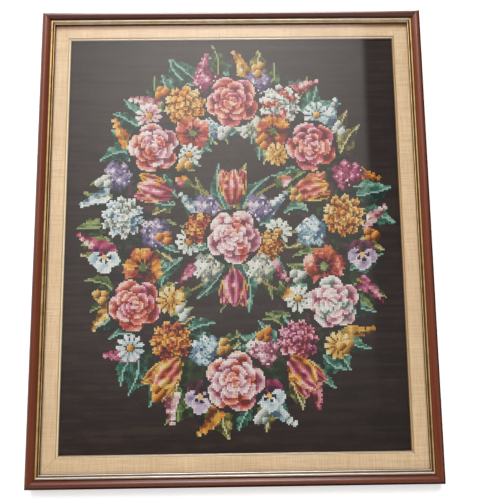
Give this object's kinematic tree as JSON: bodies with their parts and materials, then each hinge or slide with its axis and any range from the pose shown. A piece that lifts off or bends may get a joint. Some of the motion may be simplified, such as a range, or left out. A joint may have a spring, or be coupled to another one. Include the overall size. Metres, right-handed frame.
{
  "type": "needlepoint canvas panel in a picture frame",
  "caption": "Floral needlepoint canvas behind glass, with a linen liner, in a mitred wooden picture frame with a gilt sight edge.",
  "frame": {"origin": "on the surface that the panel lies on, under the middle of the frame", "axes": "+X towards the picture's right, +Y towards the picture's top, +Z out of the picture's face"},
  "size_m": [0.65, 0.783, 0.028],
  "materials": {
    "moulding": "mahogany stain under satin polish",
    "gilt": "burnished gilt on wood",
    "linen": "plain linen weave glued over wood",
    "pale_gilt": "pale gilt paint on wood",
    "glass": "clear picture glass",
    "stitched_wool": "half-cross stitches in wool on canvas",
    "board": "plain brown board"
  },
  "bodies": {
    "root": {"rail_bottom": "moulding", "rail_right": "moulding", "rail_top": "moulding", "rail_left": "moulding", "slip_bottom": "gilt", "slip_right": "gilt", "slip_top": "gilt", "slip_left": "gilt", "liner_bottom": "linen", "liner_right": "linen", "liner_top": "linen", "liner_left": "linen", "fillet_bottom": "pale_gilt", "fillet_right": "pale_gilt", "fillet_top": "pale_gilt", "fillet_left": "pale_gilt", "glass_pane": "glass", "needlepoint_canvas": "stitched_wool", "backing_board": "board"}
  },
  "joints": []
}
